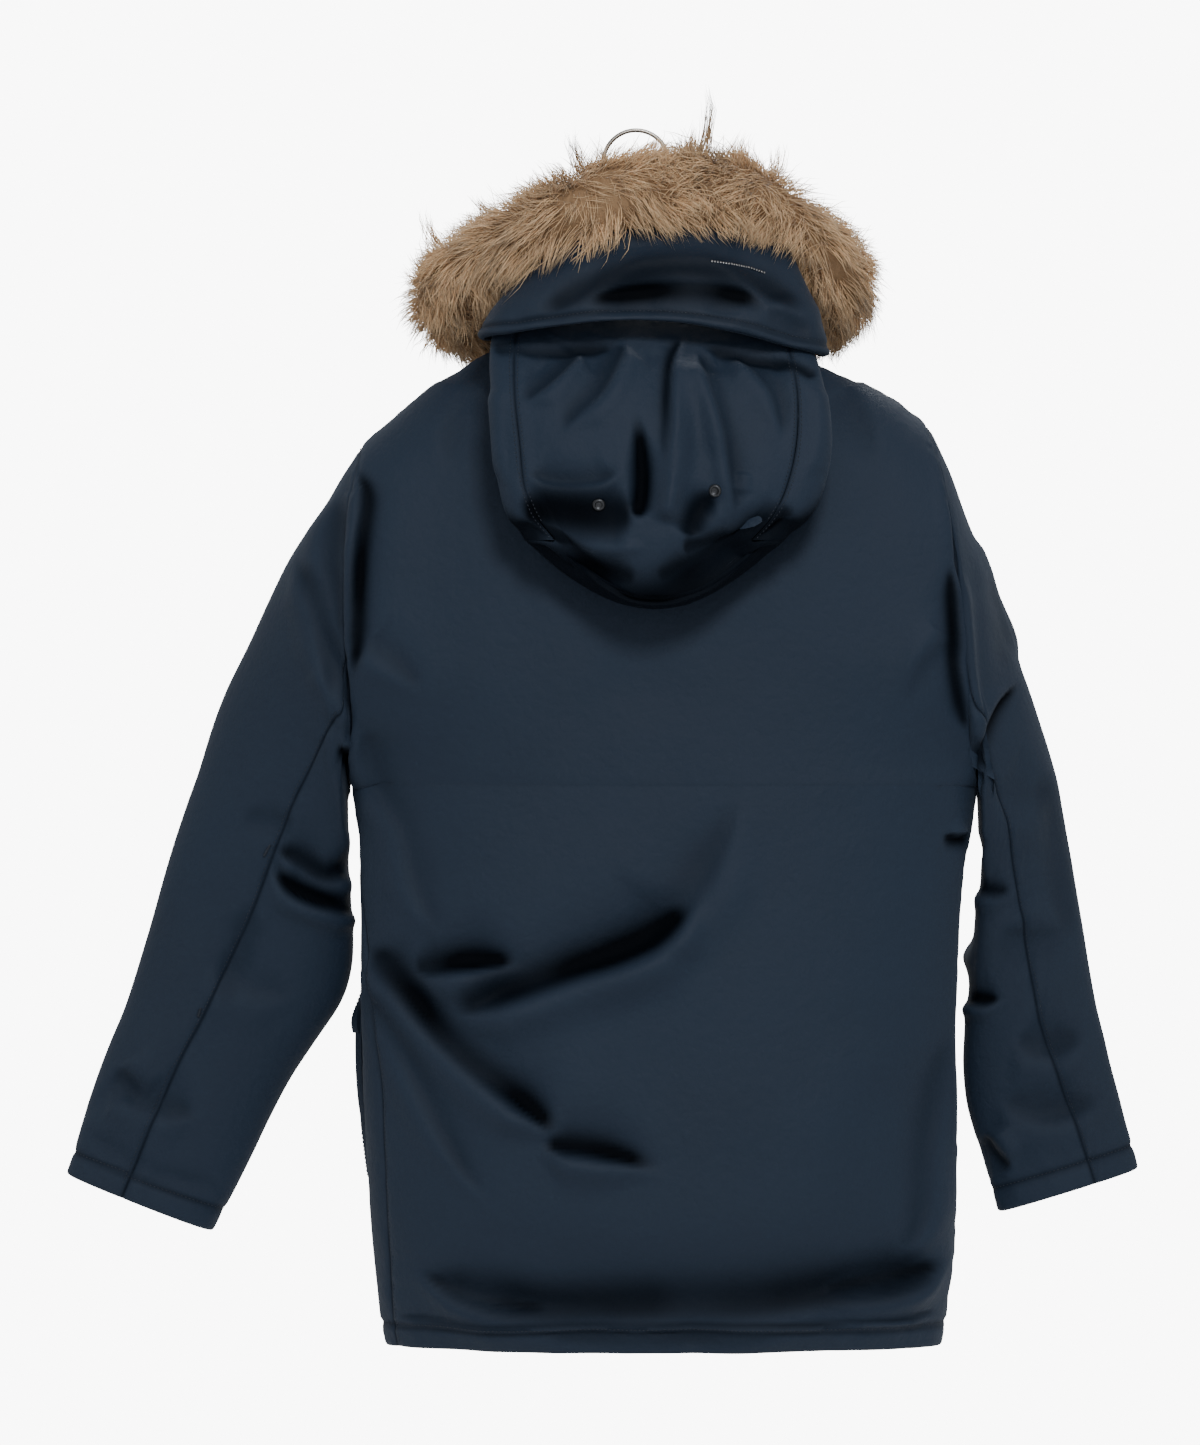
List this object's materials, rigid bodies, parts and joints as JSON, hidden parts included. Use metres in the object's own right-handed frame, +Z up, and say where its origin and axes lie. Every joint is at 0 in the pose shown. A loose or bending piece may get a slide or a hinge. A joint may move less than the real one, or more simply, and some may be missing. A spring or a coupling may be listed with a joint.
{
  "type": "fur trimmed parka on a hanger",
  "caption": "Padded parka with a fur trimmed hood folded back, cargo pockets and a front zip, hanging on a plain hanger with a wire hook.",
  "frame": {"origin": "the seat inside the hanger's hook, where a rail carries it", "axes": "+Z up; the garment's front faces -Y and its back +Y; +X is the wearer's left"},
  "size_m": [0.8843, 0.3116, 0.9972],
  "materials": {
    "shell": "fine woven navy shell over down, slight sheen",
    "band": "fine woven dark navy shell",
    "fur": "long tan fur with darker tips",
    "tape": "woven zip tape, dark navy",
    "trim_metal": "dark metal, satin",
    "hook_wire": "polished wire",
    "wood": "varnished wood"
  },
  "bodies": {
    "garment": {"back_panel": "shell", "front_left": "shell", "front_right": "shell", "collar": "shell", "sleeve_upper_left": "shell", "sleeve_upper_right": "shell", "sleeve_under_left": "shell", "sleeve_under_right": "shell", "hood_centre": "shell", "hood_side_left": "shell", "hood_side_right": "shell", "hood_brim": "band", "fur_trim": "fur", "pocket_left": "shell", "pocket_right": "shell", "pocket_flap_left": "shell", "pocket_flap_right": "shell", "eyelet_left": "trim_metal", "eyelet_right": "trim_metal", "zip_tape_left": "tape", "zip_tape_right": "tape", "zip_chain": "tape", "zip_slider": "trim_metal", "hanger_bar": "wood", "hanger_hook": "hook_wire"},
    "pull": {"zip_pull": "trim_metal"}
  },
  "joints": [
    {"name": "pull_swing", "type": "hinge", "parent": "garment", "child": "pull", "pos_m": [-0.00625, -0.08326, -0.19803], "axis": [-1, 0, 0], "range_deg": [0, 110]}
  ]
}
